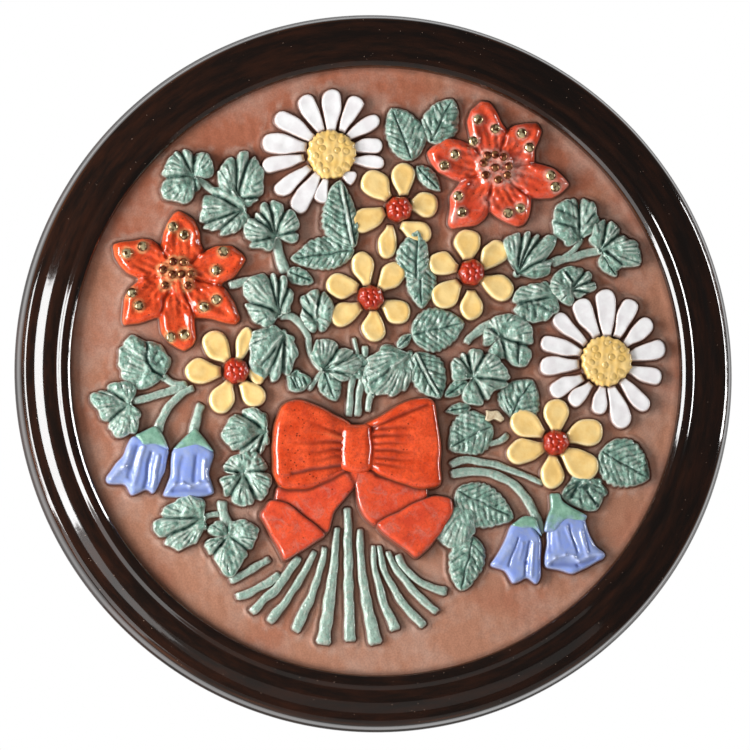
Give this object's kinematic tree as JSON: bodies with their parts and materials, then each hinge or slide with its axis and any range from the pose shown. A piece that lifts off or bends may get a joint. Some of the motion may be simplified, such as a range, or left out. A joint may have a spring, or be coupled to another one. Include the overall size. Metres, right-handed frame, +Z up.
{
  "type": "decorative wall plaque",
  "caption": "Round ceramic wall plaque: a dark glazed moulded rim round a bare clay field with a glazed relief bouquet of daisies, flowers, bluebells and leaves tied by a bow.",
  "frame": {"origin": "centre of the flat back, on the wall", "axes": "+Y into the wall, the face looks along -Y, +Z up, +X to the viewer's right"},
  "size_m": [0.41, 0.0245, 0.41],
  "materials": {
    "fired_clay": "matt unglazed terracotta",
    "rim_glaze": "glossy brown-black glaze",
    "leaf_glaze": "glossy grey-green glaze",
    "white_glaze": "satin white glaze",
    "yellow_glaze": "satin yellow glaze",
    "red_glaze": "glossy speckled orange-red glaze",
    "blue_glaze": "glossy blue-violet glaze",
    "lustre_glaze": "brown-gold lustre"
  },
  "bodies": {
    "root": {"plaque": "fired_clay"}
  },
  "joints": []
}
